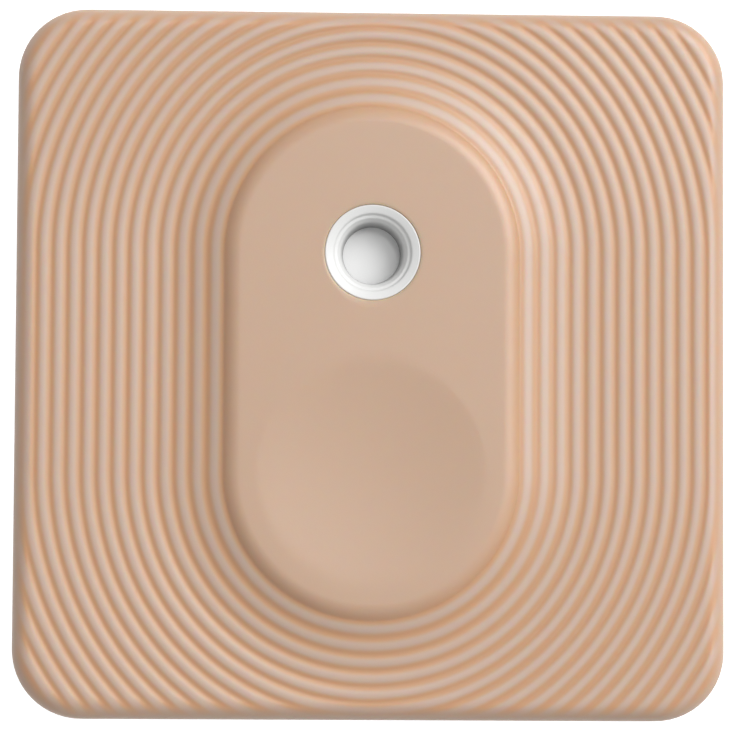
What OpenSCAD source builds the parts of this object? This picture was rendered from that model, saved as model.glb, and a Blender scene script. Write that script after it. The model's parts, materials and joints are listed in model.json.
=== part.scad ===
// Temperature and humidity sensor: a square coin-cell tile with a ridged front.
// The back face lies on z = 0, the front faces +Z and the port end faces +Y.

/* [Body] */
// Side of the square body
body_w = 35; // [34:0.5:42]
// Radius of the body's corners, seen from the front
corner_r = 3.4; // [3:0.1:5]
// Radius of the rounding that runs round the front edge
edge_round = 1.1; // [0.9:0.05:1.3]
// Thickness of the front cover's side wall
side_t = 1.2; // [1.0:0.1:1.5]
// Thickness of the front cover under the grooves
cover_t = 1.0; // [0.8:0.1:1.5]

/* [Ridges] */
// Distance between the two grooves nearest to the plateau
pitch = 0.8; // [0.7:0.01:1.0]
// How much each ridge is narrower than the one inside it
pitch_drop = 0.006; // [0:0.001:0.008]
// Depth of the grooves
groove_depth = 0.25; // [0.15:0.01:0.32]
// Share of a ridge's height radius that its rounded crest takes
crest_share = 0.56; // [0.5:0.01:0.62]
// Height that the ridged field gains where it climbs to the plateau
climb_h = 0.45; // [0.2:0.05:0.6]
// Width of the climbing part of the ridged field
climb_w = 3.9; // [3:0.1:5]

/* [Plateau] */
// Width of the raised plateau at its foot
plateau_w = 14.2; // [13:0.2:16]
// Length of the raised plateau at its foot
plateau_l = 24.95; // [23:0.05:27]
// Height of the plateau above the outer ridges
plateau_h = 0.95; // [0.8:0.05:1.2]
// Radius of the plateau's rounded edge
plateau_round = 0.75; // [0.6:0.05:0.85]
// Diameter of the shallow finger dish in the plateau
dish_d = 11.2; // [8:0.2:12]
// Depth of the finger dish
dish_depth = 0.25; // [0.1:0.05:0.4]

/* [Port] */
// Outer diameter of the port bush's lip
lip_d = 4.7; // [4.4:0.1:5.4]
// Thickness of that lip, which sits in the front cover
lip_t = 0.85; // [0.7:0.05:1.0]
// How far the lip overhangs the tube below it
lip_step = 0.4; // [0.3:0.05:0.6]
// Diameter of the throat at the top of the bush
throat_top_d = 3.38; // [3.1:0.02:3.5]
// Diameter of the throat at the membrane
throat_low_d = 2.8; // [2.4:0.1:3.0]
// Height of the boss inside the front cover that holds the tube
boss_h = 0.85; // [0.6:0.05:1.0]
// Thickness of the vent membrane
membrane_t = 0.15; // [0.1:0.05:0.3]
// Height of the gasket round the humidity sensor
gasket_h = 0.55; // [0.55:0.05:0.8]

/* [Board] */
// Thickness of the circuit board
board_t = 0.6; // [0.6:0.1:1.0]
// Space between the board and the front cover
board_gap = 0.4; // [0.3:0.1:0.8]
// Gap between the board's edge and the side wall
board_clear = 0.3; // [0.2:0.05:0.5]
// Width of the slot that keeps the board's heat from the humidity sensor
slot_w = 0.8; // [0.5:0.1:1.0]
// Diameter of the stakes that hold the board
stake_d = 1.2; // [1.0:0.1:1.5]
// Distance of the stakes from the board's edges
stake_inset = 2.2; // [2.0:0.1:3.0]

/* [Components] */
// Side of the humidity sensor's package
sensor_w = 1.5; // [1.5:0.5:2.5]
// Height of the humidity sensor's package
sensor_h = 0.5; // [0.4:0.05:0.5]
// Distance of the row of chips from the board's end nearest to the port
row_inset = 4.8; // [4.6:0.1:6]
// Side of the radio chip
radio_w = 5; // [4:0.5:6]
// Height of the radio chip
radio_h = 0.85; // [0.6:0.05:1.0]
// Distance of the radio chip from the middle of the board
radio_x = 6.2; // [6:0.1:7]
// Length of the chip antenna
antenna_l = 6.5; // [5:0.5:7]
// Distance of the antenna from the middle of the board
antenna_x = 9.2; // [8.5:0.1:10]
// Height of the reservoir capacitor
reservoir_h = 1.6; // [1.2:0.1:1.6]
// Diameter of the programming pads
pad_d = 1; // [0.8:0.1:1.2]
// Distance between the programming pads
pad_pitch = 1.5; // [1.27:0.01:1.6]

/* [Battery] */
// Diameter of the coin cell
cell_d = 20; // [16:1:20]
// Thickness of the coin cell
cell_h = 3.2; // [2.5:0.1:3.2]
// Gap between the coin cell and the side wall nearest to it
cell_gap = 1.7; // [1.5:0.1:2.5]
// Thickness of the battery clip's sheet metal
clip_t = 0.2; // [0.15:0.05:0.3]
// Width of the battery clip
clip_w = 6; // [4:0.5:7]
// Length of the clip's feet under the board
foot_l = 2.0; // [1.5:0.1:2.2]
// Diameter of the contact between the cell and the board
contact_d = 8; // [6:0.5:12]
// Thickness of that contact
contact_t = 0.1; // [0.1:0.05:0.2]

/* [Back cover] */
// Thickness of the back cover's plate
back_t = 1.0; // [0.9:0.1:1.5]
// Depth of the step round the plate's outer edge
back_step = 0.4; // [0.3:0.05:0.6]
// Height of the rim that the back cover pushes into the front cover
rim_h = 1.6; // [1.2:0.1:2.0]
// Thickness of that rim
rim_t = 0.9; // [0.7:0.1:1.2]
// Thickness of the seal, across and along the seam
seal_t = 0.5; // [0.4:0.05:0.6]
// Height of the arcs that keep the cell in place
arc_h = 1.4; // [1.0:0.1:1.6]
// Thickness of those arcs
arc_t = 0.8; // [0.6:0.1:1.2]
// Width of the prising notch in the back cover's edge
notch_w = 8; // [5:0.5:12]
// How deep the prising notch runs in from the edge
notch_l = 0.8; // [0.5:0.1:1.0]

/* [Hidden] */
$fn = 96;

// Clearances, and how far a cut runs past what it cuts
fit = 0.06;
seam = 0.05;
face_gap = 0.1;
part_gap = 0.3;
over = 1;

// Heights, stacked from the back face to the front
skirt_z = back_t + seam;
clip_z = back_t + face_gap;
cell_z = clip_z + clip_t;
contact_z = cell_z + cell_h;
board_z = contact_z + contact_t;
board_top = board_z + board_t;
ceiling_z = board_top + board_gap;
field_z = ceiling_z + cover_t + groove_depth;
plateau_z = field_z + plateau_h;
membrane_z = board_top + gasket_h;
bush_z = membrane_z + membrane_t;

// Outlines, from the outside in
half_w = body_w / 2;
cavity_half = half_w - side_t;
cavity_r = corner_r - side_t;
rim_half = cavity_half - fit;
rim_r = cavity_r - fit;
board_half = cavity_half - board_clear;
board_r = cavity_r - board_clear;
edge_lead = 0.02;
edge_z = field_z + edge_lead;

// Plateau and ridges: an offset r is measured from the spine between the two arc centres
spine = (plateau_l - plateau_w) / 2;
foot_gap = 0.17;
first_groove = plateau_w / 2 + foot_gap;
climb_end = first_groove + climb_w;
reach = norm([half_w - corner_r, half_w - corner_r - spine]) + corner_r;
function groove_r(k) = first_groove + k * pitch - k * (k - 1) / 2 * pitch_drop;
function crest_r(k) = (groove_r(k) + groove_r(k + 1)) / 2;
function climb(r) = climb_h * pow(max(climb_end - r, 0) / climb_w, 2);
rings = [for (k = [0:40]) if (groove_r(k) < reach - edge_round) k];
last_ring = len(rings) - 1;

// The crest and groove circles touch when their radii add up to this
function radii_sum(k) = (pow((pitch - k * pitch_drop) / 2, 2) + pow(groove_depth, 2)) / (2 * groove_depth);
arc_overlap = 0.012;
slab_drop = groove_depth * crest_share;

// Centres of the port, the dish and the cell
port_y = spine;
dish_y = -spine;
cell_r = cell_d / 2;
cell_y = cell_r + cell_gap - cavity_half;

// Plain shapes

module rounded_square(half, r) {
    square([2 * half, 2 * (half - r)], center = true);
    square([2 * (half - r), 2 * half], center = true);
    for (x = [-1, 1], y = [-1, 1])
        translate([x * (half - r), y * (half - r)]) circle(r);
}

module rounded_prism(half, r, z0, z1) {
    translate([0, 0, z0]) linear_extrude(height = z1 - z0) rounded_square(half, r);
}

module ring(r_out, r_in, z0, z1) {
    translate([0, 0, z0]) linear_extrude(height = z1 - z0)
        difference() {
            circle(r_out);
            circle(r_in);
        }
}

module stadium(r) {
    square([2 * r, 2 * spine], center = true);
    for (y = [-spine, spine]) translate([0, y]) circle(r);
}

// A small box that stands under the board, given by its centre and size
module under_board(x, y, w, l, h) {
    translate([x - w / 2, y - l / 2, board_z - h]) cube([w, l, h]);
}

// Front cover

// Half section of the ridged front: offset from the spine across, height up
module ridge_section() {
    base = skirt_z;
    slab = [for (k = [last_ring:-1:0]) each [
        [crest_r(k), field_z + climb(crest_r(k)) - slab_drop],
        [groove_r(k), field_z + climb(groove_r(k)) - slab_drop]
    ]];
    foot_z = field_z + climb(first_groove) - slab_drop;
    difference() {
        union() {
            polygon(concat([[0, base], [crest_r(last_ring), base]], slab, [[0, foot_z]]));
            for (k = rings) {
                crest = crest_share * radii_sum(k);
                translate([crest_r(k), field_z + climb(crest_r(k)) - crest]) circle(crest);
            }
            translate([crest_r(last_ring), base]) square([3 * pitch, field_z - base]);
            translate([0, base]) square([plateau_w / 2, plateau_z - plateau_round - base]);
            translate([0, base]) square([plateau_w / 2 - plateau_round, plateau_z - base]);
            translate([plateau_w / 2 - plateau_round, plateau_z - plateau_round]) circle(plateau_round);
        }
        for (k = rings) {
            groove = (1 - crest_share) * radii_sum(k) + arc_overlap;
            translate([groove_r(k), field_z + climb(groove_r(k)) - groove_depth + groove]) circle(groove);
        }
    }
}

// The section carried along the spine and round both arc centres
module ridged_field() {
    rotate([90, 0, 0]) linear_extrude(height = 2 * spine, center = true) {
        ridge_section();
        mirror([1, 0]) ridge_section();
    }
    translate([0, spine, 0]) rotate_extrude(angle = 180) ridge_section();
    translate([0, -spine, 0]) rotate([0, 0, 180]) rotate_extrude(angle = 180) ridge_section();
}

// Upright section of the edge: a wall of the given half width with a rounded top edge
module edge_section(half) {
    translate([0, skirt_z]) square([half, edge_z - edge_round - skirt_z]);
    translate([0, skirt_z]) square([half - edge_round, edge_z - skirt_z]);
    translate([half - edge_round, edge_z - edge_round]) circle(edge_round);
}

// The body's outline with its rounded front edge, left high inside that edge
module rounded_blank() {
    for (a = [0, 90])
        rotate([90, 0, a]) linear_extrude(height = body_w - 2 * corner_r, center = true) {
            edge_section(half_w);
            mirror([1, 0]) edge_section(half_w);
        }
    for (a = [0:90:270])
        rotate([0, 0, a]) translate([half_w - corner_r, half_w - corner_r, 0])
            rotate_extrude(angle = 90) edge_section(corner_r);
    rounded_prism(half_w - edge_round, corner_r - edge_round, skirt_z, plateau_z + over);
}

// Four posts on the cover's ceiling, with stakes through the board and melted heads under it
stake_at = board_half - stake_inset;
post_wall = 0.7;
head_wall = 0.4;
head_h = 0.5;

module at_stakes() {
    for (x = [-stake_at, stake_at], y = [-stake_at, stake_at]) translate([x, y, 0]) children();
}

module board_posts() {
    at_stakes() {
        translate([0, 0, board_top]) cylinder(d = stake_d + 2 * post_wall, h = board_gap + cover_t / 2);
        translate([0, 0, board_z - head_h]) cylinder(d = stake_d, h = board_t + head_h + board_gap);
        translate([0, 0, board_z - head_h]) cylinder(d = stake_d + 2 * head_wall, h = head_h);
    }
}

// Bore in the front cover for the bush: a wide seat for the lip and a narrow way through
lip_r = lip_d / 2;
tube_r = lip_r - lip_step;
seat_z = plateau_z - lip_t;
boss_z = seat_z - boss_h;
boss_wall = 0.7;
pocket_web = 0.35;

module port_bores() {
    translate([0, port_y, seat_z]) cylinder(r = lip_r + fit / 2, h = lip_t + over);
    translate([0, port_y, boss_z - over]) cylinder(r = tube_r + fit / 2, h = boss_h + 2 * over);
}

module finger_dish() {
    r = (pow(dish_d / 2, 2) + pow(dish_depth, 2)) / (2 * dish_depth);
    translate([0, dish_y, plateau_z - dish_depth + r]) sphere(r = r);
}

// The space inside: the cavity, the rebate for the seal and the pocket under the plateau
module cover_cavity() {
    pocket_z = seat_z - pocket_web;
    rounded_prism(cavity_half, cavity_r, skirt_z - over, ceiling_z);
    rounded_prism(cavity_half + seal_t, cavity_r + seal_t, skirt_z - over, skirt_z + seal_t);
    translate([0, 0, ceiling_z - over])
        linear_extrude(height = pocket_z - ceiling_z + over) stadium(plateau_w / 2 - cover_t);
}

module front_cover() {
    color([0.80, 0.67, 0.59])
    intersection() {
        difference() {
            union() {
                difference() {
                    rounded_blank();
                    cover_cavity();
                }
                board_posts();
                translate([0, port_y, boss_z]) cylinder(r = lip_r + boss_wall, h = boss_h);
            }
            port_bores();
            finger_dish();
        }
        ridged_field();
    }
}

// Port

// Places on the bush's inner face: across from the lip or the throat, and down from the top
bush_drop = 0.025;
rim_w = 0.06;
step_w = 0.21;
step_down = 0.12;
ledge_down = 0.2;
mouth_down = 0.27;
throat_down = 0.42;

// Half section of the bush: a tube under a lip that falls to a step and on into a tapered throat
module bush_section() {
    top = plateau_z - bush_drop;
    mouth_r = throat_top_d / 2;
    step_r = mouth_r + step_w;
    low_r = throat_low_d / 2;
    difference() {
        union() {
            translate([0, bush_z]) square([tube_r, top - bush_z]);
            translate([0, seat_z]) square([lip_r, top - seat_z]);
        }
        polygon([
            [0, bush_z - over], [low_r, bush_z - over], [low_r, bush_z],
            [mouth_r - 0.05, top - throat_down], [mouth_r + 0.03, top - mouth_down],
            [step_r - 0.02, top - ledge_down], [step_r, top - step_down],
            [lip_r - rim_w, top], [lip_r - rim_w, top + over], [0, top + over]
        ]);
    }
}

module port_bush() {
    color([0.91, 0.91, 0.90])
    translate([0, port_y, 0]) rotate_extrude() bush_section();
}

// The membrane and the gasket have the same outer radius, a little inside the bore
film_r = tube_r - face_gap;

module vent_membrane() {
    color([0.88, 0.88, 0.87])
    translate([0, port_y, membrane_z]) cylinder(r = film_r, h = membrane_t);
}

module sensor_gasket() {
    color([0.25, 0.25, 0.26])
    translate([0, port_y, 0]) ring(film_r, throat_low_d / 2, board_top, membrane_z);
}

// Humidity sensor: a square package with a round window over the sensing film
module humidity_sensor() {
    window_d = 0.8;
    window_h = 0.15;
    color([0.13, 0.13, 0.14])
    difference() {
        translate([-sensor_w / 2, port_y - sensor_w / 2, board_top]) cube([sensor_w, sensor_w, sensor_h]);
        translate([0, port_y, board_top + sensor_h - window_h]) cylinder(d = window_d, h = over);
    }
}

// Circuit board

tongue_wall = 0.9;
tongue_r = tube_r + tongue_wall;

// A slot that leaves the sensor on a tongue of board, joined at the side towards the cell
module heat_slot() {
    translate([0, port_y]) difference() {
        circle(tongue_r + slot_w);
        circle(tongue_r);
        translate([-tongue_r / 2, -2 * tongue_r]) square([tongue_r, 2 * tongue_r]);
    }
}

module circuit_board() {
    color([0.10, 0.22, 0.16])
    difference() {
        rounded_prism(board_half, board_r, board_z, board_top);
        translate([0, 0, board_z - over]) linear_extrude(height = board_t + 2 * over) heat_slot();
        at_stakes() translate([0, 0, board_z - over]) cylinder(d = stake_d + 2 * fit, h = board_t + 2 * over);
    }
}

// Gilded pads for the programming pins, on the board's underside beside a stake
pad_t = 0.05;
pad_x = 0.4;
pad_y = 1.7;

module contact_pads() {
    color([0.83, 0.68, 0.32])
    for (i = [0:2], j = [0, 1])
        translate([pad_x - stake_at + pad_pitch * j, pad_y - stake_at + pad_pitch * i, board_z - pad_t])
            cylinder(d = pad_d, h = pad_t);
}

// The chips hang under the board in a row, at its end near the port, clear of the cell
row_y = board_half - row_inset;

module radio_chip() {
    dot_d = 0.6;
    dot_in = 0.7;
    dot_t = 0.05;
    dot = radio_w / 2 - dot_in;
    color([0.12, 0.12, 0.13])
    difference() {
        under_board(-radio_x, row_y, radio_w, radio_w, radio_h);
        translate([-radio_x - dot, row_y + dot, board_z - radio_h - over]) cylinder(d = dot_d, h = over + dot_t);
    }
}

crystal_x = 5.0;
crystal_w = 2.5;
crystal_l = 2.0;
crystal_h = 0.6;
crystal_y = 0.4;

module radio_crystal() {
    color([0.75, 0.74, 0.70])
    under_board(-radio_x - crystal_x, row_y + crystal_y, crystal_w, crystal_l, crystal_h);
}

clock_w = 3.2;
clock_l = 1.5;
clock_h = 0.8;
clock_y = 2.0;

module clock_crystal() {
    color([0.75, 0.74, 0.70])
    under_board(-radio_x - crystal_x, row_y - clock_y, clock_w, clock_l, clock_h);
}

antenna_w = 2.0;
antenna_h = 1.1;
antenna_y = 1.2;

module chip_antenna() {
    color([0.90, 0.90, 0.86])
    under_board(antenna_x, row_y + antenna_y, antenna_w, antenna_l, antenna_h);
}

chip_w = 0.5;
chip_l = 1.0;
chip_step = 1.5;
inductor_x = 1.2;

module antenna_inductors() {
    color([0.35, 0.40, 0.45])
    for (i = [0, 1]) under_board(chip_step * i - inductor_x, row_y + antenna_y, chip_l, chip_w, chip_w);
}

bypass_x = 3.8;
bypass_y = 3.3;

module bypass_capacitors() {
    color([0.62, 0.52, 0.42])
    for (i = [0:3])
        under_board(-radio_x - bypass_x + chip_step * i, row_y + bypass_y, chip_w, chip_l, chip_w);
}

resistor_x = 4.2;
resistor_y = 2.6;
resistor_h = 0.35;

module resistors() {
    color([0.08, 0.08, 0.09])
    for (i = [0:2]) under_board(resistor_x + chip_step * i, row_y + resistor_y, chip_w, chip_l, resistor_h);
}

reservoir_w = 1.6;
reservoir_l = 3.2;
reservoir_x = 2.8;
reservoir_y = 5.5;

module reservoir_capacitor() {
    color([0.60, 0.50, 0.38])
    under_board(board_half - reservoir_x, cell_y - reservoir_y, reservoir_w, reservoir_l, reservoir_h);
}

// Battery

can_round = 0.4;
cap_h = 0.35;
cap_in = 1.3;

// Coin cell: a can with rounded edges, its flat face to the back, and a narrower cap to the board
module cell_section() {
    translate([0, can_round]) square([cell_r, cell_h - cap_h - can_round]);
    square([cell_r - can_round, cell_h - cap_h]);
    translate([cell_r - can_round, can_round]) circle(can_round);
    square([cell_r - cap_in, cell_h]);
}

module coin_cell() {
    color([0.78, 0.79, 0.80])
    translate([0, cell_y, cell_z]) rotate_extrude() cell_section();
}

// Battery clip: a strap under the cell, bent up beside it, with feet on the board
leg_x = cell_r + part_gap;

module battery_clip() {
    color([0.72, 0.73, 0.74])
    translate([0, cell_y, 0]) rotate([90, 0, 0]) linear_extrude(height = clip_w, center = true) {
        translate([-leg_x - clip_t, clip_z]) square([2 * (leg_x + clip_t), clip_t]);
        for (m = [0, 1]) mirror([m, 0]) {
            translate([leg_x, clip_z]) square([clip_t, board_z - clip_z]);
            translate([leg_x, board_z - clip_t]) square([clip_t + foot_l, clip_t]);
        }
    }
}

module battery_contact() {
    color([0.83, 0.68, 0.32])
    translate([0, cell_y, contact_z]) cylinder(d = contact_d, h = contact_t);
}

// Back cover

module cover_seal() {
    color([0.16, 0.16, 0.17])
    difference() {
        rounded_prism(rim_half + seal_t, rim_r + seal_t, back_t, back_t + seal_t);
        rounded_prism(rim_half, rim_r, back_t - over, back_t + seal_t + over);
    }
}

// Arcs that keep the cell in place, inside the rim, open where the clip's legs go by
module cell_arcs() {
    way = clip_w + 4 * part_gap;
    intersection() {
        difference() {
            translate([0, cell_y, 0]) ring(leg_x + arc_t, leg_x, back_t / 2, back_t + arc_h);
            translate([-cell_d, cell_y - way / 2, 0]) cube([2 * cell_d, way, back_t + arc_h + over]);
        }
        rounded_prism(rim_half, rim_r, 0, back_t + arc_h + over);
    }
}

// The rim that pushes into the front cover, cut away where the cell comes close
module push_rim() {
    difference() {
        rounded_prism(rim_half, rim_r, back_t / 2, back_t + rim_h);
        rounded_prism(rim_half - rim_t, rim_r - rim_t, 0, back_t + rim_h + over);
        translate([0, cell_y, 0]) cylinder(r = leg_x, h = back_t + rim_h + over);
    }
}

module back_cover() {
    plate_half = half_w - face_gap;
    plate_r = corner_r - face_gap;
    color([0.76, 0.63, 0.55])
    difference() {
        union() {
            rounded_prism(plate_half, plate_r, back_step, back_t);
            rounded_prism(plate_half - back_step, plate_r - back_step, 0, back_step);
            push_rim();
            cell_arcs();
        }
        translate([-notch_w / 2, -half_w - over, back_step]) cube([notch_w, notch_l + over, back_t]);
    }
}

front_cover();
port_bush();
vent_membrane();
sensor_gasket();
humidity_sensor();
circuit_board();
contact_pads();
radio_chip();
radio_crystal();
clock_crystal();
chip_antenna();
antenna_inductors();
bypass_capacitors();
resistors();
reservoir_capacitor();
coin_cell();
battery_clip();
battery_contact();
cover_seal();
back_cover();
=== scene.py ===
# %% [markdown]
# A temperature and humidity tile. The real object is a 35 mm square of satin tan plastic with rings of fine
# ridges round a raised plateau, and a white port where the air gets in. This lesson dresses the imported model:
# it shows how one path and one section make a ridged moulding, and how a light from one corner brings it out.

# %% Load the frame
import json
import math

import bmesh
import bpy
import numpy as np
from mathutils import Matrix, Vector


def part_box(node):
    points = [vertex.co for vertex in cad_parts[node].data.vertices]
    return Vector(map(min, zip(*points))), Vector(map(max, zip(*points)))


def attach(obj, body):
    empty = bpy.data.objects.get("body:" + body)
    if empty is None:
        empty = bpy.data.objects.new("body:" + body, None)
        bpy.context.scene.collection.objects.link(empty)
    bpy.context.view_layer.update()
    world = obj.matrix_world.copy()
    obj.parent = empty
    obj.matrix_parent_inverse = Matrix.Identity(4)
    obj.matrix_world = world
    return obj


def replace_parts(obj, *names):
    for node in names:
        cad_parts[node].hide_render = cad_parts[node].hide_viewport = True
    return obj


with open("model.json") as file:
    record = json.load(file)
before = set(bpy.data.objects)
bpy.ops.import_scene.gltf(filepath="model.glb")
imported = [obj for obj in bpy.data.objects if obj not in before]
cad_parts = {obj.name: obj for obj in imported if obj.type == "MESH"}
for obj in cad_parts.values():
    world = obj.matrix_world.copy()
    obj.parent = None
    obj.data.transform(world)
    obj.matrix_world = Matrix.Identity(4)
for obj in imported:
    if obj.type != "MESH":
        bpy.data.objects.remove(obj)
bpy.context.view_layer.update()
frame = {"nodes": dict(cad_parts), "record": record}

MM = 0.001
nodes = frame["nodes"]
slot_of = {part["node"]: part["material_slot"] for part in frame["record"]["subparts"]}
print("frame loaded:", len(nodes), "nodes")

# %% [markdown]
# Every height in this model is part of a stack that starts at the back face. Where a node of the frame has
# the height, it is read from that node's box, so the dressed pieces sit exactly where the solids do.

# %% Heights and widths that the frame gives
def low(node, axis):
    """Lower end of a node's box along an axis, in millimetres."""
    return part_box(node)[0][axis] / MM


def high(node, axis):
    """Upper end of a node's box along an axis, in millimetres."""
    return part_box(node)[1][axis] / MM


def length(node, axis):
    """Size of a node's box along an axis, in millimetres."""
    return high(node, axis) - low(node, axis)


def middle(node, axis):
    """Middle of a node's box along an axis, in millimetres."""
    return (low(node, axis) + high(node, axis)) / 2


tube_wall = 0.1
half_w = high("front_cover", 0)
skirt_z = low("front_cover", 2)
plateau_z = high("front_cover", 2)
board_z = low("circuit_board", 2)
board_top = high("circuit_board", 2)
bush_z = low("port_bush", 2)
port_y = middle("port_bush", 1)
lip_r = length("port_bush", 0) / 2
tube_r = high("vent_membrane", 0) + tube_wall
print("plateau at", round(plateau_z, 3), "mm, port at y =", round(port_y, 3), "mm")

# %% [markdown]
# The details of the moulding have no node of their own, so their sizes are named here. The ridges stand a
# little wider apart next to the plateau than farther out, and the field that carries them climbs towards
# the plateau. Both were found by laying renders over the photograph, as were the depths, which show only
# as shade.

# %% Sizes of the moulded front, in millimetres
corner_r = 3.4
edge_round = 1.05
side_t = 1.2
seal_t = 0.5
plateau_w = 14.2
plateau_h = 0.95
plateau_round = 0.68
plateau_r = plateau_w / 2 - plateau_round
foot_gap = 0.15
first_groove = plateau_w / 2 + foot_gap
pitch = 0.74
first_gap = 0.855
gap_fade = 0.4
groove_depth = 0.064
groove_pinch = 1.25
round_share = 0.85
climb_h = 0.62
climb_w = 3.4
flank_power = 2.2
spine = port_y
dish_y = -spine
dish_r = 5.6
dish_depth = 0.3
dish_power = 1.15
seat_depth = 0.85
seat_z = plateau_z - seat_depth
field_z = plateau_z - plateau_h
edge_rise = 0.02
edge_z = field_z + edge_rise
ceiling_gap = 0.4
ceiling_z = board_top + ceiling_gap
bore_gap = 0.01
print("ridges from", round(first_groove, 2), "mm off the middle line, field at", round(field_z, 2), "mm")

# %% [markdown]
# The ridges, the plateau and the wall all follow one another like the lanes of a running track. So the whole
# cover can be one grid: a path runs round the track, and at each point of it a section runs from the port's
# edge over the top, down the wall, and back up inside. Booleans could cut the same grooves, but a grid keeps
# its rows along the ridges, which is what makes their highlights clean.

# %% The path round the track
arc_steps = 180
side_steps = 36


def track_path():
    """Feet and directions of the track's spokes, anticlockwise: round the top arc, down the left side, round
    the bottom arc and up the right side. A point of the track at offset r is its foot plus r times its
    direction. The second half is the first one turned by half a turn."""
    turn = np.linspace(0, math.pi, arc_steps, endpoint=False)
    side = np.linspace(spine, -spine, side_steps, endpoint=False)
    top = np.stack([0 * turn, 0 * turn + spine, np.cos(turn), np.sin(turn)], 1)
    left = np.stack([0 * side, side, 0 * side - 1, 0 * side], 1)
    both = np.concatenate([top, left])
    rows = np.concatenate([both, -both])
    return rows[:, :2], rows[:, 2:]


foot, spoke = track_path()
print("path has", len(foot), "spokes")

# %% [markdown]
# The outline is a square with round corners, and the ridges run out at it. Two measures are needed for that:
# how far a point lies inside the outline, and how long each spoke is until it comes to a given distance from
# it. The second has no short formula where a spoke ends in a corner, so it is found by halving.

# %% How far each point lies inside the outline
halvings = 40


def inset(x, y):
    """Distance in from the rounded square: the corner radius less the distance from the square that the
    corners' centres make."""
    qx = np.abs(x) - (half_w - corner_r)
    qy = np.abs(y) - (half_w - corner_r)
    outside = np.hypot(np.maximum(qx, 0), np.maximum(qy, 0))
    return corner_r - outside - np.minimum(np.maximum(qx, qy), 0)


def reach(depth):
    """Length of each spoke up to the line that lies a given depth inside the outline, by halving."""
    near = np.zeros(len(foot))
    far = np.full(len(foot), 2 * half_w)
    for _ in range(halvings):
        mid = (near + far) / 2
        point = foot + spoke * mid[:, None]
        inside = inset(point[:, 0], point[:, 1]) > depth
        near = np.where(inside, mid, near)
        far = np.where(inside, far, mid)
    return near


print("spokes reach", round(reach(0).min(), 2), "to", round(reach(0).max(), 2), "mm")

# %% [markdown]
# Seen from above, a ridge is only light and shade, so its section matters more than its depth. A plain wave
# looks like corrugated sheet. The real ones have broad round crests that meet in a narrow groove, which is a
# cosine whose argument is pinched, mixed with a little of a parabola that leaves a crease at the bottom.

# %% The height of the ridged front
def groove_radii(count=24):
    """Offsets of the grooves: gap n is the pitch, plus the first gap's surplus times e to the power of minus
    the fade times n, so the gaps soon shrink to the pitch."""
    gaps = pitch + (first_gap - pitch) * np.exp(-gap_fade * np.arange(count - 1))
    return first_groove + np.concatenate([[0], np.cumsum(gaps)])


grooves = groove_radii()


def beside_crest(r):
    """How far an offset is from the nearest crest: nothing on the crest and one in the grooves beside it."""
    lane = np.interp(r, grooves, np.arange(len(grooves)))
    return 2 * np.abs(lane - np.floor(lane) - 0.5)


def ridge_height(r):
    """Height over the offset. The field's climb is a square law over its width. From it goes the groove depth
    times half of one minus a cosine, mixed with the square of the distance from the crest. The plateau's
    flank is the plateau less a power of the distance down it."""
    climb = climb_h * (np.clip(first_groove + climb_w - r, 0, climb_w) / climb_w) ** 2
    beside = beside_crest(r)
    swell = 0.5 - 0.5 * np.cos(math.pi * beside ** groove_pinch)
    field = field_z + climb - groove_depth * (round_share * swell + (1 - round_share) * beside ** 2)
    fall = np.clip((r - plateau_r) / (first_groove - plateau_r), 0, 1)
    foot_z = field_z + climb_h - groove_depth
    flank = plateau_z - (plateau_z - foot_z) * fall ** flank_power
    return np.where(r < first_groove, flank, field)


def edge_height(depth):
    """Height of the rounded front edge at a depth inside the outline: a quarter circle, and beyond it a plane
    that rises as fast as it goes in, so that it never cuts the ridges."""
    rest = edge_round - np.clip(depth, 0, edge_round)
    arc = np.sqrt(np.maximum(edge_round ** 2 - rest ** 2, 0))
    return edge_z - edge_round + arc + np.maximum(depth - edge_round, 0)


def soft_min(a, b, width=0.05):
    """The lower of two heights, with the crease between them rounded over the given width."""
    h = np.clip(0.5 + 0.5 * (b - a) / width, 0, 1)
    return b + (a - b) * h - width * h * (1 - h)


print("grooves:", len(grooves), "with gaps from", round(np.diff(grooves)[0], 3), "mm")

# %% [markdown]
# Near the other end of the plateau is a shallow dish that a finger finds without looking. It has no edge: it
# sinks away so gently that only a slow change of shade shows it.

# %% The finger dish
def dish(x, y):
    """Depth of the dish: a power of one minus the squared distance from its centre over its radius."""
    far = np.hypot(x, y - dish_y) / dish_r
    return dish_depth * np.clip(1 - far ** 2, 0, 1) ** dish_power


print("dish is", dish(0, dish_y), "mm deep at its centre")

# %% [markdown]
# A loop is one turn of the path at one step of the section. Loops near the port are circles round it, drawn
# in the directions in which the track's points are seen from the port, so circles and track share one grid.

# %% Loops of the cover
def track_loop(r, z):
    """A loop at offset r, a number or one value a spoke, and height z."""
    point = foot + spoke * np.broadcast_to(r, len(foot))[:, None]
    return np.column_stack([point, np.broadcast_to(z, len(foot))])


aim = track_loop(plateau_r, 0)[:, :2] - [0, port_y]
aim_length = np.linalg.norm(aim, axis=1)
aim = aim / aim_length[:, None]


def port_loop(r, z):
    """A circle round the port, or with r as one value a spoke, any ring that the port sees all of."""
    point = np.array([0, port_y]) + aim * np.broadcast_to(r, len(aim))[:, None]
    return np.column_stack([point, np.broadcast_to(z, len(aim))])


# %% [markdown]
# The plateau is flat, so its rows only have to be dense enough for the dish. The sharp edge where the port's
# hole begins gets two more rows, because a moulding is a little rounded there.

# %% Rows over the plateau
hole_r = lip_r + bore_gap
rim_steps = ((0, 0.04), (0.015, 0.012))
rim_width = 0.05
plateau_rows = 40


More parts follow.
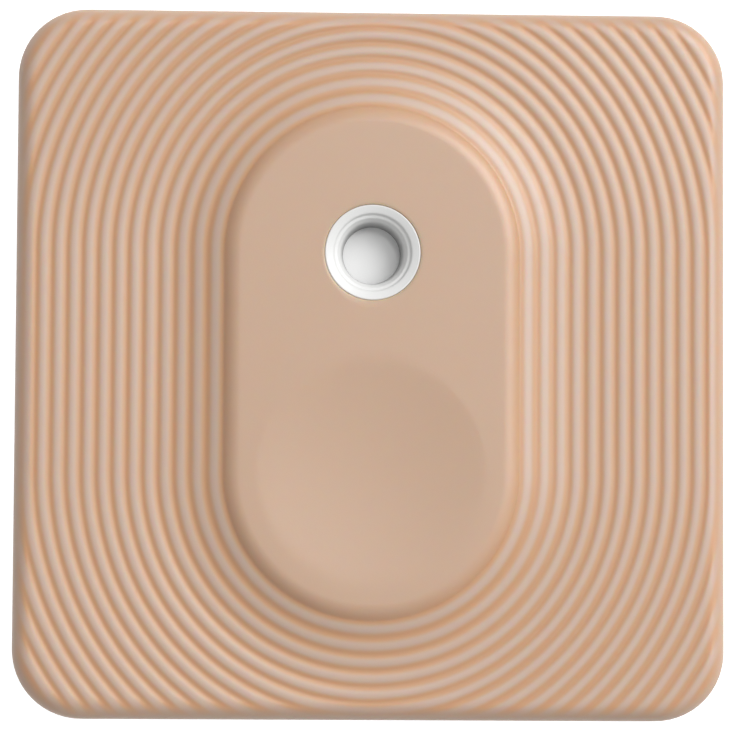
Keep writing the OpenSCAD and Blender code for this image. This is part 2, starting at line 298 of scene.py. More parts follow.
def plateau_loops():
    """The small rounding at the port's edge, as steps out and down, and then straight lines from there to the
    plateau's edge, with the dish sunk into them."""
    loops = [port_loop(hole_r + out, plateau_z - down) for out, down in rim_steps]
    start = hole_r + rim_width
    for t in np.linspace(0, 1, plateau_rows):
        r = start + (aim_length - start) * t
        loop = port_loop(r, plateau_z)
        loop[:, 2] -= dish(loop[:, 0], loop[:, 1])
        loops.append(loop)
    return loops


print("rows over the plateau:", len(plateau_loops()))

# %% [markdown]
# Over the ridges, a row that crossed a crest would give its highlight teeth. So each row keeps its offset all
# the way round. Where the outline comes first, the row waits there until the path leads it inwards again.

# %% Rows over the ridges
flank_rows = 14
rows_per_ridge = 10
edge_start = 0.2
past_edge = 0.1
stop = reach(edge_start)


def field_offsets():
    """Offsets of the rows: close together down the plateau's flank, then a fixed number for each ridge."""
    flank = np.linspace(plateau_r, first_groove, flank_rows + 1)[1:]
    lanes = np.arange(1, rows_per_ridge * (len(grooves) - 1) + 1) / rows_per_ridge
    ridges = np.interp(lanes, np.arange(len(grooves)), grooves)
    return np.concatenate([flank, ridges[ridges < stop.max() + past_edge]])


def field_loops():
    """Each row follows its ridge until it meets the outline, and waits there for the rows outside it."""
    loops = []
    for r in field_offsets():
        at = np.minimum(r, stop)
        loop = track_loop(at, 0)
        depth = inset(loop[:, 0], loop[:, 1])
        loop[:, 2] = soft_min(ridge_height(at), edge_height(depth))
        loops.append(loop)
    return loops


print("rows over the ridges:", len(field_offsets()))

# %% [markdown]
# Outside the ridges the front's edge is round, the wall goes straight down, and its lower edge has a step in
# which the rubber seal lies. Inside are a pocket under the plateau and a boss round the port. All of it is
# rows of the same grid, so the moulding closes on itself without a join.

# %% Rows down the wall and inside
edge_rows = 8
skirt_round = ((0, 0.12), (0.03, 0.04), (0.12, 0))
rebate = side_t - seal_t
cavity_round = 0.15
pocket_r = plateau_w / 2 - 1.0
pocket_round = 0.1
pocket_z = seat_z - 0.35
boss_r = lip_r + 0.7
boss_z = seat_z - 0.85


def wall_loops():
    """The rounded edge below the ridges, the wall, its lower edge and the rebate for the seal."""
    loops = []
    for turn in np.linspace(0, 0.5 * math.pi, edge_rows):
        depth = edge_start * (1 - math.sin(turn))
        loops.append(track_loop(reach(depth), edge_height(depth)))
    loops.append(track_loop(reach(0), (edge_z - edge_round + skirt_z) / 2))
    for depth, up in (*skirt_round, (rebate, 0), (rebate, seal_t)):
        loops.append(track_loop(reach(depth), skirt_z + up))
    return loops


def inner_loops():
    """The cavity: its wall and ceiling, the pocket under the plateau, the port's boss and the port's bore."""
    return [
        track_loop(reach(side_t), skirt_z + seal_t),
        track_loop(reach(side_t), ceiling_z - cavity_round),
        track_loop(reach(side_t + cavity_round), ceiling_z),
        track_loop(pocket_r + pocket_round, ceiling_z),
        track_loop(pocket_r, ceiling_z + pocket_round),
        track_loop(pocket_r, pocket_z),
        port_loop(boss_r, pocket_z),
        port_loop(boss_r, boss_z),
        port_loop(tube_r + bore_gap, boss_z),
        port_loop(tube_r + bore_gap, seat_z),
        port_loop(hole_r, seat_z),
    ]


# %% [markdown]
# The loops become a mesh. Where rows wait at the outline, neighbouring loops share their points, and a face
# that has lost a side becomes a triangle or goes away. What is left is one closed skin with no stray edge.

# %% From loops to a mesh
def skin(loops, closed=True, touching=1e-9):
    """Vertices and faces between neighbouring loops, with the last loop joined to the first when closed."""
    points = np.stack(loops)
    rows, count = points.shape[:2]
    index = np.arange(rows * count).reshape(rows, count)
    for i in range(1, rows):
        same = np.abs(points[i] - points[i - 1]).max(axis=1) < touching
        index[i] = np.where(same, index[i - 1], index[i])
    after = np.concatenate([index[1:], index[:1]]) if closed else index[1:]
    here = index if closed else index[:-1]
    quads = np.stack([here, after, np.roll(after, -1, 1), np.roll(here, -1, 1)], -1).reshape(-1, 4)
    return points.reshape(-1, 3), quads


def tidy_faces(quads):
    """Faces as lists without repeated corners; a face with fewer than three corners is dropped."""
    lost = (quads == np.roll(quads, -1, 1)).sum(1)
    whole = quads[lost == 0].tolist()
    cut = [[v for n, v in enumerate(face) if v != face[n - 1]] for face in quads[lost == 1].tolist()]
    return whole + cut


def shade_smooth(mesh, sharp):
    """Smooth shading up to the given angle in degrees, and an edge where faces meet at more than that."""
    mesh.polygons.foreach_set("use_smooth", np.ones(len(mesh.polygons), dtype=bool))
    mesh.set_sharp_from_angle(angle=math.radians(sharp))


def place_mesh(name, mesh):
    """An object for the mesh, at the origin."""
    piece = bpy.data.objects.new(name, mesh)
    bpy.context.scene.collection.objects.link(piece)
    return piece


def make_piece(name, points, faces, sharp=35):
    """A piece from points in millimetres; points that no face uses are left out."""
    used = np.unique(np.concatenate([np.array(f) for f in faces]))
    number = np.full(len(points), -1)
    number[used] = np.arange(len(used))
    mesh = bpy.data.meshes.new(name)
    mesh.from_pydata((points[used] * MM).tolist(), [], [[int(number[v]) for v in f] for f in faces])
    mesh.validate()
    shade_smooth(mesh, sharp)
    print(name, "has", len(mesh.polygons), "faces")
    return place_mesh(name, mesh)


# %% [markdown]
# Round parts are made as on a lathe: a section goes round an upright axis. Spin would do it too, but as
# loops of points it can use the same function for its faces as the cover does.

# %% Turned shapes
def turned(profile, x, y, steps):
    """Loops round an upright axis, one for each radius and height of the profile; on the axis, a pole."""
    angle = np.linspace(0, 2 * math.pi, steps, endpoint=False)
    across = np.cos(angle)
    along = np.sin(angle)
    return [np.column_stack([x + r * across, y + r * along, 0 * angle + z]) for r, z in profile]


def rounded(profile, radius, steps=5):
    """A closed profile with short curves for corners. Between two points A and B beside a corner C, the curve
    is (1 - t) squared times A, plus 2 t (1 - t) times C, plus t squared times B."""
    points = np.array(profile, float)
    out = []
    for n in range(len(points)):
        corner = points[n]
        back = points[n - 1] - corner
        on = points[(n + 1) % len(points)] - corner
        cut = min(radius, 0.45 * np.linalg.norm(back), 0.45 * np.linalg.norm(on))
        a = corner + back / np.linalg.norm(back) * cut
        b = corner + on / np.linalg.norm(on) * cut
        for t in np.linspace(0, 1, steps + 1):
            out.append(a * (1 - t) ** 2 + corner * 2 * t * (1 - t) + b * t ** 2)
    return out


# %% [markdown]
# The board hangs under four posts of the cover. Each post ends in a thin stake that goes through the board
# and is melted over below it, like a rivet. The posts sink a little into the cover's ceiling, where nobody
# sees the joint, so they are shells of their own in the same mesh.

# %% The front cover
post_r = 1.3
post_root = 0.3
stake_r = 0.6
stake_inset = 2.2
stake_steps = 40
melted_head = ((0.98, 0), (1.0, 0.12), (0.86, 0.36), (0.5, 0.49), (0.0, 0.5))


def stake_loops(x, y):
    """A post on the cover's ceiling, its stake, and the melted head as radii and depths below the board."""
    root = ceiling_z + post_root
    post = [(0.0, root), (post_r, root), (post_r, board_top), (stake_r, board_top), (stake_r, board_z)]
    return turned(post + [(r, board_z - down) for r, down in melted_head], x, y, stake_steps)


def front_cover():
    """The grid from the port's edge round to itself, and the four posts with their stakes."""
    points, quads = skin(plateau_loops() + field_loops() + wall_loops() + inner_loops())
    faces = tidy_faces(quads)
    stake = high("circuit_board", 0) - stake_inset
    for x in (-stake, stake):
        for y in (-stake, stake):
            more, sides = skin(stake_loops(x, y), closed=False)
            faces += tidy_faces(sides[:, ::-1] + len(points))
            points = np.concatenate([points, more])
    piece = make_piece("front_cover_moulding", points, faces)
    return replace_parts(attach(piece, "front"), "front_cover")


cover = front_cover()

# %% [markdown]
# In a ribbed part in a pale plastic, light that gets between two ribs strikes their colour many times over, so
# the grooves glow with a deeper, redder tan, and the crests look paler beside them. Two flat colours alone
# would not show this, so that light and shade are painted into the colour: every point of the mesh gets a
# number, which says how far it is down a groove or up on a crest, and the material reads it to paint shade into
# the grooves and a pale sheen onto the crests.

# %% Numbers that a mesh carries for its material
def vertex_places(mesh):
    """The x, y and z of every vertex, in millimetres."""
    spots = np.empty(len(mesh.vertices) * 3)
    mesh.vertices.foreach_get("co", spots)
    return spots.reshape(-1, 3).T / MM


def write_attribute(mesh, name, values):
    """One number for each vertex, under a name that a material can ask for."""
    mesh.attributes.new(name, "FLOAT", "POINT").data.foreach_set("value", values.astype(np.float32))


# %% The painted shade of grooves and the painted sheen of crests
crest_flat = 0.1
tone_width = 0.7
fade_start = 0.2
fade_end = 0.7
# The flank value below paints shade down the plateau's flank towards its foot.
flank_painted_shade = -0.8
top_side = ceiling_z + 0.5


def add_painted_shade_and_sheen(piece):
    """Cosine of the way from crest to groove: one on a crest, minus one in a groove, faded out towards the
    edge. Down the plateau's flank it follows the square of the way, and below the top it is nothing. Below zero
    it paints shade, above zero a pale sheen."""
    x, y, z = vertex_places(piece.data)
    r = np.hypot(x, np.maximum(np.abs(y) - spine, 0))
    down = np.clip((beside_crest(r) - crest_flat) / tone_width, 0, 1)
    fade = np.clip((inset(x, y) - fade_start) / (fade_end - fade_start), 0, 1)
    down_flank = np.clip((r - plateau_r) / (first_groove - plateau_r), 0, 1)
    painted_shade_and_sheen = np.where(r < first_groove, flank_painted_shade * down_flank ** 2, np.cos(math.pi * down) * fade)
    painted_shade_and_sheen = np.where(z > top_side, painted_shade_and_sheen, 0)
    write_attribute(piece.data, "painted_shade_and_sheen", painted_shade_and_sheen)
    print("tone from", round(float(painted_shade_and_sheen.min()), 2), "to", round(float(painted_shade_and_sheen.max()), 2))


add_painted_shade_and_sheen(cover)

# %% [markdown]
# The port's bush is turned: its section falls from the rim to a small step, then on into a tapered throat.
# In the solid model these are plain cones. Here the corners are rounded a little, because it is the soft
# corner that catches the light on a small white moulding.

# %% The port bush
bush_top = plateau_z - 0.025
mouth_r = 1.69
throat_r = 1.4
bush_corner = 0.07
bush_steps = 160


def port_bush():
    """The bush's closed section: up its outside to the lip, over the step and down the throat."""
    outside = [(tube_r, bush_z), (tube_r, seat_z), (lip_r, seat_z), (lip_r, bush_top - 0.03)]
    lip = [(lip_r - 0.05, bush_top), (mouth_r + 0.24, bush_top - 0.12)]
    step = [(mouth_r + 0.17, bush_top - 0.28), (mouth_r + 0.03, bush_top - 0.32)]
    throat = [(mouth_r - 0.05, bush_top - 0.46), (throat_r + 0.13, bush_top - 0.66), (throat_r, bush_z)]
    profile = rounded(outside + lip + step + throat, bush_corner)
    points, quads = skin(turned(profile, 0, port_y, bush_steps))
    piece = make_piece("port_bush_moulding", points, tidy_faces(quads[:, ::-1]), sharp=50)
    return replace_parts(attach(piece, "front"), "port_bush")


bush = port_bush()

# %% [markdown]
# No real surface has just one colour and one roughness. All finishes here are built from the same few parts:
# noise that reads the piece's own place, a ramp that brings it to a range, a blend of two near shades, and a
# bump so low that it only breaks the highlight up.

# %% Material helpers
def new_material(name):
    """A node material with a principled shader joined to its output."""
    material = bpy.data.materials.new(name)
    material.use_nodes = True
    tree = material.node_tree
    return material, tree, tree.nodes["Principled BSDF"]


def noise(tree, scale, detail=3.0, rough=0.55):
    """Noise that reads the piece's own place, so it stays put when the piece moves."""
    place = tree.nodes.new("ShaderNodeTexCoord")
    texture = tree.nodes.new("ShaderNodeTexNoise")
    texture.inputs["Scale"].default_value = scale
    texture.inputs["Detail"].default_value = detail
    texture.inputs["Roughness"].default_value = rough
    tree.links.new(place.outputs["Object"], texture.inputs["Vector"])
    return texture.outputs["Fac"]


def read_attribute(tree, name):
    """The number that the mesh carries under a name."""
    attribute = tree.nodes.new("ShaderNodeAttribute")
    attribute.attribute_name = name
    return attribute.outputs["Fac"]


def spread(tree, value, low_value, high_value, start=0.3, end=0.7):
    """Maps a value, which for noise runs from about 0.3 to 0.7, onto a range."""
    ramp = tree.nodes.new("ShaderNodeMapRange")
    ramp.inputs["From Min"].default_value = start
    ramp.inputs["From Max"].default_value = end
    ramp.inputs["To Min"].default_value = low_value
    ramp.inputs["To Max"].default_value = high_value
    tree.links.new(value, ramp.inputs["Value"])
    return ramp.outputs["Result"]


def blend_colours(tree, value, first, second):
    """Runs between two colours with a value; each is a colour or another node's output."""
    mix = tree.nodes.new("ShaderNodeMix")
    mix.data_type = "RGBA"
    for socket, colour in ((mix.inputs["A"], first), (mix.inputs["B"], second)):
        if isinstance(colour, tuple):
            socket.default_value = (*colour, 1)
        else:
            tree.links.new(colour, socket)
    tree.links.new(value, mix.inputs["Factor"])
    return mix.outputs["Result"]


def vary_roughness(tree, shader, scale, rough, swing):
    """Roughness that swings a little both ways, in noise of the given scale."""
    tree.links.new(spread(tree, noise(tree, scale), rough - swing, rough + swing), shader.inputs["Roughness"])


def add_bump(tree, shader, height, distance, strength):
    """Lets the surface look raised by a height between nothing and one, times a distance in metres."""
    bump = tree.nodes.new("ShaderNodeBump")
    bump.inputs["Distance"].default_value = distance
    bump.inputs["Strength"].default_value = strength
    tree.links.new(height, bump.inputs["Height"])
    tree.links.new(bump.outputs["Normal"], shader.inputs["Normal"])


def dress(piece, material):
    """Gives a piece one material in its first slot."""
    piece.data.materials.clear()
    piece.data.materials.append(material)


# %% [markdown]
# The shell is a satin plastic. Light goes a little way into it and comes out beside the place where it went
# in, red farther than green and blue. That is why its shade is warm and never black, and why the fine ridges
# look soft. A plain colour with a highlight would look like paint, so the shader scatters light inside.

# %% The tan shell
# The first colour below is painted shade for the grooves, the last a painted sheen for the crests; the middle
# one is the shell's own tan.
groove_painted_shade = (0.572, 0.302, 0.143)
plain_tan = (0.550, 0.362, 0.243)
crest_painted_sheen = (0.560, 0.410, 0.326)
shell_rough = 0.45
shell_finish = {
    "Specular IOR Level": 0.8,
    "IOR": 1.55,
    "Subsurface Weight": 0.7,
    "Subsurface Scale": 1.0 * MM,
    "Subsurface Radius": (1.0, 0.35, 0.12),
}


def shell_plastic():
    """A ramp from painted groove shade over the plain tan to painted crest sheen, with a very fine moulded
    grain.
    """
    material, tree, shader = new_material("tan_shell")
    ramp = tree.nodes.new("ShaderNodeValToRGB")
    stops = ramp.color_ramp.elements
    stops[0].color = (*groove_painted_shade, 1)
    stops[1].color = (*crest_painted_sheen, 1)
    stops.new(0.5).color = (*plain_tan, 1)
    tree.links.new(spread(tree, read_attribute(tree, "painted_shade_and_sheen"), 0, 1, -1, 1), ramp.inputs["Fac"])
    tree.links.new(ramp.outputs["Color"], shader.inputs["Base Color"])
    vary_roughness(tree, shader, scale=2500, rough=shell_rough, swing=0.03)
    add_bump(tree, shader, noise(tree, 9000, detail=4), distance=0.000004, strength=0.6)
    for name, value in shell_finish.items():
        shader.inputs[name].default_value = value
    return material


shell = shell_plastic()
dress(cover, shell)
print("shell:", shell.name)

# %% [markdown]
# The port's bush and the membrane in it are both white, but not alike. The bush is a smooth moulding with a
# soft shine. The membrane is a porous film: matt, whiter, and with a finer and deeper grain.

# %% White plastics
def white_plastic(name, colour, rough, grain, depth):
    """A white with slightly paler clouds in it, and a grain of the given scale and depth in metres."""
    material, tree, shader = new_material(name)
    paler = tuple(min(1.0, c * 1.03) for c in colour)
    tree.links.new(blend_colours(tree, noise(tree, 600), colour, paler), shader.inputs["Base Color"])
    vary_roughness(tree, shader, scale=3000, rough=rough, swing=0.04)
    add_bump(tree, shader, noise(tree, grain, detail=4), depth, strength=0.7)
    return material


dress(bush, white_plastic("white_port", (0.77, 0.77, 0.76), 0.35, 6000, 0.000003))
print("bush:", bush.data.materials[0].name)

# %% [markdown]
# The throat of the real port is clearly darker than its lip, because so little light gets down to its wall.
# A render lets white walls pass the light on and stays too bright there. So the wall turns grey on its way
# down, by a number that the mesh carries, and the membrane at the bottom stays white.

# %% The shade in the port's throat
throat_edge = 1.6
shade_top = plateau_z - 0.55
shade_rate = 2.6
throat_grey = (0.16, 0.16, 0.16)


def shade_throat(piece):
    """The share of grey is the depth below the shade's top over the throat's length, times its rate."""
    x, y, z = vertex_places(piece.data)
    in_throat = np.hypot(x, y - port_y) < throat_edge
    share = np.clip((shade_top - z) / (shade_top - bush_z) * shade_rate, 0, 1) * in_throat
    write_attribute(piece.data, "throat", share)
    tree = piece.data.materials[0].node_tree
    base = tree.nodes["Principled BSDF"].inputs["Base Color"]
    port_white = base.links[0].from_socket
    tree.links.new(blend_colours(tree, read_attribute(tree, "throat"), port_white, throat_grey), base)
    print("vertices in the throat:", int(in_throat.sum()))


shade_throat(bush)

# %% [markdown]
# The inside shows only when the front is off its back cover, but each part has the finish of the real one:
# black rubber, green solder resist, gilded pads, nickelled steel, ceramic. Each is one call with two near
# shades of its colour. The board, the radio chip, the humidity sensor and the pads keep the shapes of the
# solid model, because their flat faces and crisp edges are already right.

# %% Finishes of the other nodes
def plain_finish(name, colour, second, rough, metal=0.0, grain=2500, depth=0.000004):
    """A finish for the small parts: two shades in fine noise, grain and, for metals, full metal."""
    material, tree, shader = new_material(name)
    tree.links.new(blend_colours(tree, noise(tree, grain / 4), colour, second), shader.inputs["Base Color"])
    vary_roughness(tree, shader, grain, rough, swing=0.05)
    add_bump(tree, shader, noise(tree, grain * 2, detail=3), depth, strength=0.7)
    shader.inputs["Metallic"].default_value = metal
    return material


def metal_finish(name, colour, second, rough, grain=5000, depth=0.000002):
    """A plain finish in full metal, with a finer and lower grain unless another is given."""
    return plain_finish(name, colour, second, rough, 1.0, grain, depth)


finishes = {
    "shell": shell,
    "port": bush.data.materials[0],
    "membrane": white_plastic("vent_film", (0.92, 0.92, 0.915), 0.7, 12000, 0.000008),
    "seal": plain_finish("black_rubber", (0.030, 0.030, 0.032), (0.045, 0.045, 0.047), 0.6),
    "chip": plain_finish("chip_compound", (0.018, 0.018, 0.020), (0.030, 0.030, 0.032), 0.5),
    "resistor": plain_finish("resistor_glaze", (0.010, 0.010, 0.012), (0.020, 0.020, 0.022), 0.25),
    "board": plain_finish("solder_resist", (0.010, 0.070, 0.035), (0.014, 0.095, 0.050), 0.3),
    "gilding": metal_finish("gilding", (0.83, 0.58, 0.23), (0.85, 0.61, 0.26), 0.25, 6000),
    "crystal_can": metal_finish("crystal_lid", (0.64, 0.62, 0.56), (0.68, 0.66, 0.60), 0.3),
    "antenna_ceramic": plain_finish("antenna_ceramic", (0.75, 0.75, 0.68), (0.80, 0.80, 0.74), 0.35),
    "inductor": plain_finish("inductor_body", (0.10, 0.14, 0.18), (0.14, 0.18, 0.22), 0.35),
    "capacitor": plain_finish("capacitor_body", (0.34, 0.22, 0.13), (0.40, 0.28, 0.17), 0.45),
    "cell_steel": metal_finish("cell_nickel", (0.65, 0.65, 0.64), (0.68, 0.68, 0.67), 0.28),
    "clip_steel": metal_finish("clip_steel", (0.58, 0.58, 0.57), (0.62, 0.62, 0.61), 0.32),
}
for node, slot in slot_of.items():
    dress(nodes[node], finishes[slot])
print("finishes:", len(finishes))

# %% [markdown]
# Solid models have knife edges, and real pieces don't: plastic shrinks round its corners, stamped steel is
# tumbled, rubber is moulded with a radius. A bevel of 0.03 to 0.15 mm is hardly visible by itself, but it
# gives every edge the thin bright line that tells the eye what size and material it is.

# %% Pieces with softened edges
merge_within = 0.001
flat_angle = 1
sharp_angle = 30
bevel_angle = 40
bevel_steps = 2
soft_edges = (
    ("back_cover", "back", 0.15), ("coin_cell", "front", 0.08), ("cover_seal", "back", 0.15),
    ("battery_clip", "front", 0.05), ("sensor_gasket", "front", 0.1), ("vent_membrane", "front", 0.04),
    ("battery_contact", "front", 0.03), ("radio_crystal", "front", 0.1), ("clock_crystal", "front", 0.1),
)


def softened(node, body, width):
    """A copy of a node's mesh: loose triangles merged, flat areas joined and sharp edges bevelled."""
    mesh = nodes[node].data.copy()
    work = bmesh.new()
    work.from_mesh(mesh)
    bmesh.ops.remove_doubles(work, verts=work.verts, dist=merge_within * MM)
    angle = math.radians(flat_angle)
    bmesh.ops.dissolve_limit(work, angle_limit=angle, verts=work.verts, edges=work.edges)
    work.to_mesh(mesh)
    work.free()
    shade_smooth(mesh, sharp_angle)
    piece = place_mesh(node + "_piece", mesh)
    edges = piece.modifiers.new("edges", "BEVEL")
    edges.width = width * MM
    edges.segments = bevel_steps
    edges.limit_method = "ANGLE"
    edges.angle_limit = math.radians(bevel_angle)
    edges.harden_normals = True
    dress(piece, finishes[slot_of[node]])
    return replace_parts(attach(piece, body), node)


for node, body, width in soft_edges:
    piece = softened(node, body, width)
    print(piece.name, "has", len(piece.data.polygons), "faces before its bevel")

# %% [markdown]
# The small parts on a circuit board all follow one recipe: a ceramic or ferrite block, a tinned cap over each
# end, and solder that climbs up the cap from the copper in a hollow curve. One stack of rounded rectangles
# whose outline shrinks with height gives all three, so a part is nothing but a list of sizes and heights.

# %% Stacked sections
def block_loop(x, y, wide, long, corner, z, steps=3):
    """A rounded rectangle: four quarter circles round the corners of a smaller rectangle, anticlockwise."""
    turn = np.radians(np.concatenate([np.linspace(a, a + 90, steps + 1) for a in (0, 90, 180, 270)]))
    across = np.repeat([1, -1, -1, 1], steps + 1) * (wide / 2 - corner) + corner * np.cos(turn)
    along = np.repeat([1, 1, -1, -1], steps + 1) * (long / 2 - corner) + corner * np.sin(turn)
    return np.column_stack([x + across, y + along, 0 * turn + z])


def hanging(x, y, wide, long, levels, corner=0.05):
    """A block under the board: each level is how far its outline grows, and its depth below the board."""
    loops = []
    for grow, down in levels:
        loops.append(block_loop(x, y, wide + 2 * grow, long + 2 * grow, corner, board_z - down))
    points, quads = skin(loops, closed=False)
    top = list(range(len(loops[0])))
    bottom = [len(points) - 1 - v for v in top]
    return points, quads.tolist() + [top, bottom]


def add_blocks(name, blocks, material, node=None):
    """One piece from many blocks, on the front cover's body; it replaces a node where one is named."""
    starts = np.cumsum([0] + [len(points) for points, sides in blocks])
    faces = [[v + start for v in face] for start, (points, sides) in zip(starts, blocks) for face in sides]
    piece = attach(make_piece(name, np.concatenate([points for points, sides in blocks]), faces), "front")
    dress(piece, material)
    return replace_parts(piece, node) if node else piece


# %% Ceramic parts with tinned ends
cap_share = 0.24
cap_corner = 0.06
small_parts = (
    ("antenna_inductors", 2, 1.0, 0), ("bypass_capacitors", 4, 0.5, 1), ("resistors", 3, 0.5, 1),
    ("reservoir_capacitor", 1, None, 1), ("chip_antenna", 1, None, 1),
)


def end_cap(x, y, wide, long, h):
    """A tinned end with its solder: wide on the board, hollow up to half height, rounded at the far end."""
    climb = [(0.16, 0), (0.09, 0.04), (0.04, 0.12 * h + 0.04), (0.01, 0.35 * h), (0, 0.5 * h)]
    far_end = [(0, h - 0.04), (-0.012, h - 0.01), (-0.04, h)]
    return hanging(x, y, wide, long, climb + far_end, cap_corner)


def two_ended(node, count, wide, axis):
    """The bodies and end caps of a row of equal parts. The row's box gives their length, height and spacing,
    and the width of a part that is alone. The caps lie at the two ends of the given axis."""
    h = board_z - low(node, 2)
    y = middle(node, 1)
    size = np.array([wide or length(node, 0), length(node, 1)])
    places = np.linspace(low(node, 0) + size[0] / 2, high(node, 0) - size[0] / 2, count)
    body = [(-0.03, 0), (-0.03, h - 0.06), (-0.045, h - 0.03), (-0.08, h - 0.02)]
    bodies = [hanging(x, y, *size, body) for x in places]
    cap = size.copy()
    cap[axis] *= cap_share
    shift = (size - cap) / 2
    caps = [end_cap(x + side * shift[0], y + side * shift[1], *cap, h) for x in places for side in (-1, 1)]
    return bodies, caps


solder = metal_finish("solder_tin", (0.60, 0.60, 0.58), (0.72, 0.72, 0.70), 0.32, 2000, 0.000006)
solder_blocks = []
for node, count, wide, axis in small_parts:
    bodies, caps = two_ended(node, count, wide, axis)
    add_blocks(node + "_bodies", bodies, finishes[slot_of[node]], node)
    solder_blocks += caps

# %% [markdown]
# A flat package has no legs. Its pads lie under its edge, and what shows of each is a small bead of solder
# between the package's side and the copper. The beads of all parts are one piece, since they are one metal.

# %% Solder round the radio chip and the crystals
pad_reach = 0.12
pad_under = 0.1
pad_margin = 0.6
pad_levels = [(0.05, 0), (0.02, 0.05), (0, 0.12), (-0.02, 0.2)]


def pads_round(node, count, wide):
    """A row of solder beads along each side of a part, which reach out of its edge and a little under it."""
    size = (pad_reach + pad_under, wide)
    blocks = []
    for axis, order in ((0, 1), (1, -1)):
        room = length(node, 1 - axis) / 2 - pad_margin
        for edge, out in ((low(node, axis), -1), (high(node, axis), 1)):
            across = edge + out * (pad_reach - pad_under) / 2
            for t in np.linspace(-room, room, count):
                place = (across, middle(node, 1 - axis) + t)
                blocks.append(hanging(*place[::order], *size[::order], pad_levels))
    return blocks


for node, count, wide in (("radio_chip", 8, 0.26), ("radio_crystal", 2, 0.6), ("clock_crystal", 2, 0.5)):
    solder_blocks += pads_round(node, count, wide)
add_blocks("solder_joints", solder_blocks, solder)

# %% [markdown]
# The photograph looks almost straight down, from a little below and to the left of the middle. A long lens
# keeps the sides nearly parallel. The outline, the ridges and the port's lip lie at different heights, so
# the distance, the tilt and the pan could be fitted until all of them fell where the photograph has them.

# %% The camera
camera_distance = 180.7 * MM
camera_tilt = math.radians(3.73)
camera_pan = math.radians(2.25)
camera_roll = math.radians(0.33)
lens_mm = 173.15
sensor_mm = 36
aim_point = Vector((0.10 * MM, 0.20 * MM, 0))


def make_camera():
    """Looks down at the aim point from the lower left, with its up side towards +Y and a slight roll."""
    data = bpy.data.cameras.new("camera")
    data.sensor_width = sensor_mm
    data.lens = lens_mm
    data.clip_start = 0.01
    data.clip_end = 10
    back = Vector((-math.sin(camera_pan), -math.sin(camera_tilt), 0))
    back.z = math.sqrt(1 - back.length_squared)
    right = Vector((0, 1, 0)).cross(back).normalized()
    up = back.cross(right)
    turn = Matrix.Rotation(camera_roll, 3, back)
    axes = Matrix((turn @ right, turn @ up, back)).transposed()
    camera = bpy.data.objects.new("camera", data)
    camera.matrix_world = Matrix.Translation(aim_point + back * camera_distance) @ axes.to_4x4()
    bpy.context.scene.collection.objects.link(camera)
    bpy.context.scene.camera = camera


make_camera()
print("camera", round(camera_distance / MM, 1), "mm from its aim point")

# %% [markdown]
# The picture has a pure white ground. Lamps strong enough for that would bleach the tile. Instead the floor
# and the surround shine with a strength of one, but only for the rays that see them: those from the camera,
# and those that gloss or glass sends on. All other rays find a grey sheet and a soft surround, so the
# tile is lit as on a real table, and its shadow on the floor is drowned in the white, as in the picture.

# %% The rays that see the background
def seen_rays(tree):
    """One for rays from the camera and for those that gloss or glass sends on, so all of them see white."""
    path = tree.nodes.new("ShaderNodeLightPath")
    seen = path.outputs["Is Camera Ray"]
    for kind in ("Is Glossy Ray", "Is Transmission Ray"):
        either = tree.nodes.new("ShaderNodeMath")
        either.operation = "MAXIMUM"
        tree.links.new(seen, either.inputs[0])
        tree.links.new(path.outputs[kind], either.inputs[1])
        seen = either.outputs["Value"]
    return seen


# %% The floor
floor_half = 600
floor_drop = 0.02
floor_grey = (0.4, 0.4, 0.4, 1)
floor_rough = 0.8
white = (1, 1, 1, 1)


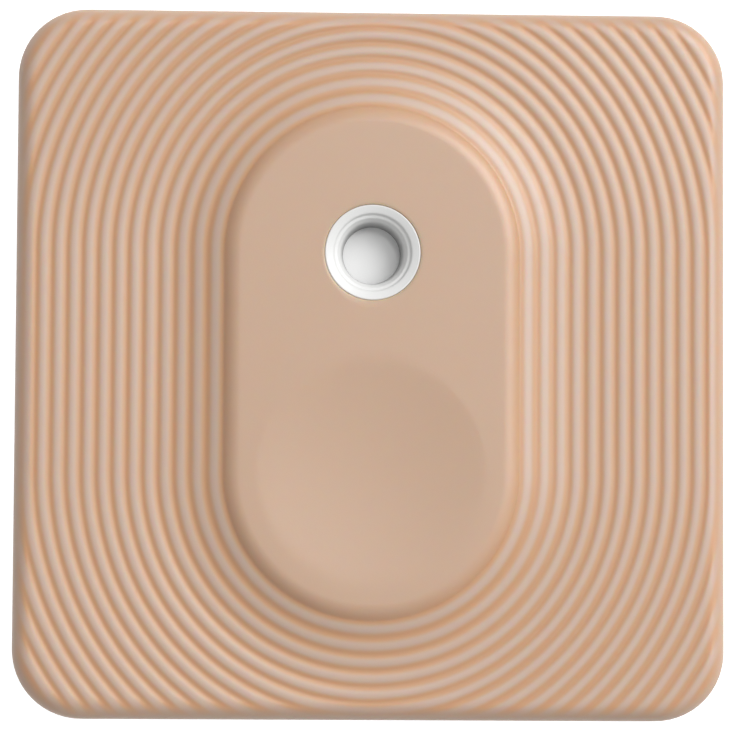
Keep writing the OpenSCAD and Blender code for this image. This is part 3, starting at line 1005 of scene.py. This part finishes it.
def make_floor():
    """A grey sheet just under the tile, with a glow of strength one added for the rays that see it."""
    corners = np.array([[-1, -1, 0], [1, -1, 0], [1, 1, 0], [-1, 1, 0]], float) * floor_half
    floor = make_piece("floor", corners, [[0, 1, 2, 3]])
    material, tree, shader = new_material("white_floor")
    shader.inputs["Base Color"].default_value = floor_grey
    shader.inputs["Roughness"].default_value = floor_rough
    glow = tree.nodes.new("ShaderNodeEmission")
    glow.inputs["Color"].default_value = white
    glow.inputs["Strength"].default_value = 1
    total = tree.nodes.new("ShaderNodeAddShader")
    choose = tree.nodes.new("ShaderNodeMixShader")
    tree.links.new(shader.outputs[0], total.inputs[0])
    tree.links.new(glow.outputs[0], total.inputs[1])
    tree.links.new(seen_rays(tree), choose.inputs["Fac"])
    tree.links.new(shader.outputs[0], choose.inputs[1])
    tree.links.new(total.outputs[0], choose.inputs[2])
    tree.links.new(choose.outputs[0], tree.nodes["Material Output"].inputs["Surface"])
    dress(floor, material)
    floor.location.z = -floor_drop * MM


make_floor()

# %% [markdown]
# The key light stands off the upper right corner. Ridges that cross its direction show bright crests and deep
# grooves, and those that run along it nearly fade. It is wide, which gives the ridges soft sides. A small
# lamp almost above the middle adds some shine to the crests, and a weak one off the picture's lower side
# lifts the flank that the key leaves in shade. The rest is the surround's even light.

# %% The lights
lamps = (
    ("key", (730, 510, 780), 900, 11.5),
    ("top", (110, 150, 510), 100, 0.36),
    ("fill", (90, -380, 300), 300, 0.06),
)
surround_strength = 0.38


def area_light(name, place, size, power):
    """A round soft light that faces the tile; its place and width are in millimetres, its power in watts."""
    data = bpy.data.lights.new(name, "AREA")
    data.energy = power
    data.shape = "DISK"
    data.size = size * MM
    lamp = bpy.data.objects.new(name, data)
    lamp.location = Vector(place) * MM
    lamp.rotation_euler = (-lamp.location).to_track_quat("-Z", "Y").to_euler()
    bpy.context.scene.collection.objects.link(lamp)


def white_world(strength):
    """A white surround: one for the rays that see it, and the given strength as light on the tile."""
    world = bpy.data.worlds.new("surround")
    bpy.context.scene.world = world
    world.use_nodes = True
    tree = world.node_tree
    glow = tree.nodes["Background"]
    glow.inputs["Color"].default_value = white
    level = tree.nodes.new("ShaderNodeMapRange")
    level.inputs["To Min"].default_value = strength
    level.inputs["To Max"].default_value = 1
    tree.links.new(seen_rays(tree), level.inputs["Value"])
    tree.links.new(level.outputs["Result"], glow.inputs["Strength"])


for lamp_row in lamps:
    area_light(*lamp_row)
white_world(surround_strength)
bpy.context.scene.view_settings.view_transform = "Standard"
print("lamps:", len(lamps))
